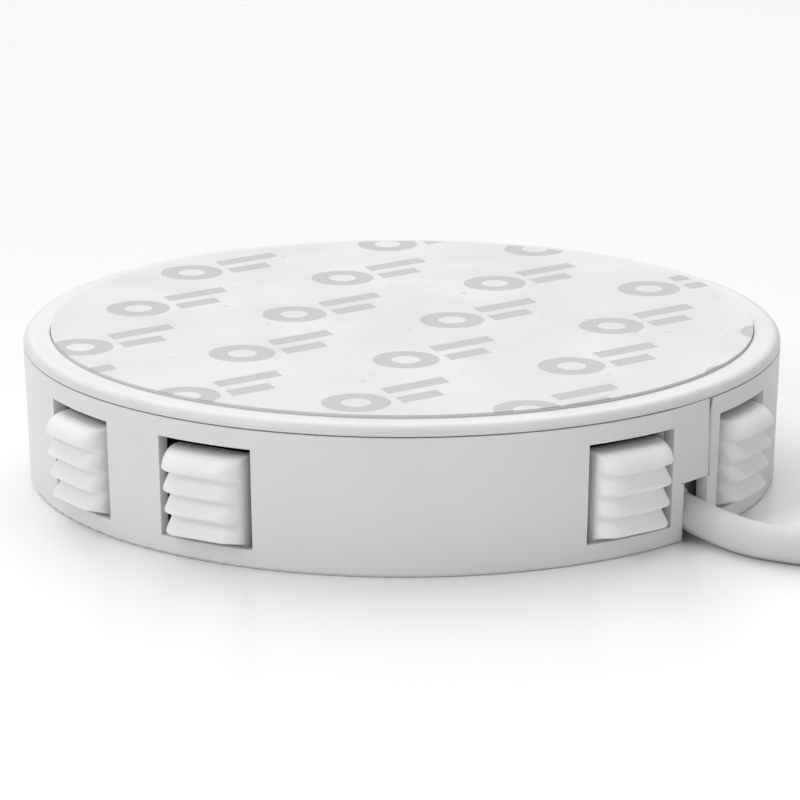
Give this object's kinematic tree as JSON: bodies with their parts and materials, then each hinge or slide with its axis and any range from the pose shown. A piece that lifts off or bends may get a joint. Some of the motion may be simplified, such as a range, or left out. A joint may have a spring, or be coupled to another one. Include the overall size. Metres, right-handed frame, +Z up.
{
  "type": "usb hub",
  "caption": "Round desk-hole USB hub lying on its port face: toothed spring tabs round the wall, adhesive base with printed liner on top, thin fixed cable.",
  "frame": {"origin": "centre of the flat port face, on the surface the hub lies on", "axes": "+Z up from the port face to the adhesive pad; the cable slot is halfway between +X and -Y"},
  "size_m": [0.1513, 0.0865, 0.0154],
  "materials": {
    "body_plastic": "fine satin moulding",
    "plate_plastic": "fine satin moulding",
    "pad_foam": "closed-cell foam tape",
    "liner_paper": "coated release paper with a plain repeated print",
    "screw_steel": "zinc plated",
    "board_laminate": "solder mask",
    "plated_shell": "bright nickel plate",
    "socket_plastic": "moulded nylon",
    "gold_contacts": "gold flash",
    "chip_plastic": "epoxy",
    "tinned_metal": "tinned",
    "fuse_plastic": "coated",
    "clear_plastic": "clear moulding",
    "header_plastic": "natural nylon",
    "wire_sleeve": "smooth insulation",
    "cable_sheath": "soft satin sheath",
    "plug_plastic": "soft overmould",
    "clamp_plastic": "moulded",
    "tie_plastic": "ribbed strap"
  },
  "bodies": {
    "hub": {"adhesive_pad": "pad_foam", "base_plate": "plate_plastic", "board_screws": "screw_steel", "bulk_capacitors": "chip_plastic", "cable_clamp": "clamp_plastic", "cable_coil": "cable_sheath", "cable_end": "cable_sheath", "cable_gate": "body_plastic", "cable_header": "header_plastic", "cable_inner_end": "cable_sheath", "cable_lead": "cable_sheath", "cable_wires": "wire_sleeve", "chip_pins": "tinned_metal", "circuit_board": "board_laminate", "clamp_screws": "screw_steel", "coil_tie": "tie_plastic", "crystal": "tinned_metal", "header_plug": "header_plastic", "housing": "body_plastic", "hub_chip": "chip_plastic", "light_pipe": "clear_plastic", "plate_screws": "screw_steel", "plug_body": "plug_plastic", "plug_contacts": "gold_contacts", "plug_insulator": "socket_plastic", "plug_relief": "plug_plastic", "plug_shell": "plated_shell", "port_contacts_1": "gold_contacts", "port_contacts_2": "gold_contacts", "port_contacts_3": "gold_contacts", "port_contacts_4": "gold_contacts", "port_fuses": "fuse_plastic", "port_shell_1": "plated_shell", "port_shell_2": "plated_shell", "port_shell_3": "plated_shell", "port_shell_4": "plated_shell", "port_tongue_1": "socket_plastic", "port_tongue_2": "socket_plastic", "port_tongue_3": "socket_plastic", "port_tongue_4": "socket_plastic", "release_liner": "liner_paper", "small_chip_parts": "chip_plastic", "status_led": "clear_plastic", "strain_relief": "plug_plastic"},
    "tab_1": {"spring_tab_1": "body_plastic"},
    "tab_2": {"spring_tab_2": "body_plastic"},
    "tab_3": {"spring_tab_3": "body_plastic"},
    "tab_4": {"spring_tab_4": "body_plastic"},
    "tab_5": {"spring_tab_5": "body_plastic"},
    "tab_6": {"spring_tab_6": "body_plastic"},
    "tab_7": {"spring_tab_7": "body_plastic"},
    "tab_8": {"spring_tab_8": "body_plastic"}
  },
  "joints": [
    {"name": "tab_1_flex", "type": "hinge", "parent": "hub", "child": "tab_1", "pos_m": [0.0313, 0.01963, 0.00195], "axis": [0.5314, -0.8471, 0], "range_deg": [0, 10], "stiffness_Nm_per_rad": 0.43},
    {"name": "tab_2_flex", "type": "hinge", "parent": "hub", "child": "tab_2", "pos_m": [0.01963, 0.0313, 0.00195], "axis": [0.8471, -0.5314, 0], "range_deg": [0, 10], "stiffness_Nm_per_rad": 0.43},
    {"name": "tab_3_flex", "type": "hinge", "parent": "hub", "child": "tab_3", "pos_m": [-0.01963, 0.0313, 0.00195], "axis": [0.8471, 0.5314, 0], "range_deg": [0, 10], "stiffness_Nm_per_rad": 0.43},
    {"name": "tab_4_flex", "type": "hinge", "parent": "hub", "child": "tab_4", "pos_m": [-0.0313, 0.01963, 0.00195], "axis": [0.5314, 0.8471, 0], "range_deg": [0, 10], "stiffness_Nm_per_rad": 0.43},
    {"name": "tab_5_flex", "type": "hinge", "parent": "hub", "child": "tab_5", "pos_m": [-0.0313, -0.01963, 0.00195], "axis": [-0.5314, 0.8471, 0], "range_deg": [0, 10], "stiffness_Nm_per_rad": 0.43},
    {"name": "tab_6_flex", "type": "hinge", "parent": "hub", "child": "tab_6", "pos_m": [-0.01963, -0.0313, 0.00195], "axis": [-0.8471, 0.5314, 0], "range_deg": [0, 10], "stiffness_Nm_per_rad": 0.43},
    {"name": "tab_7_flex", "type": "hinge", "parent": "hub", "child": "tab_7", "pos_m": [0.01963, -0.0313, 0.00195], "axis": [-0.8471, -0.5314, 0], "range_deg": [0, 10], "stiffness_Nm_per_rad": 0.43},
    {"name": "tab_8_flex", "type": "hinge", "parent": "hub", "child": "tab_8", "pos_m": [0.0313, -0.01963, 0.00195], "axis": [-0.5314, -0.8471, 0], "range_deg": [0, 10], "stiffness_Nm_per_rad": 0.43}
  ]
}
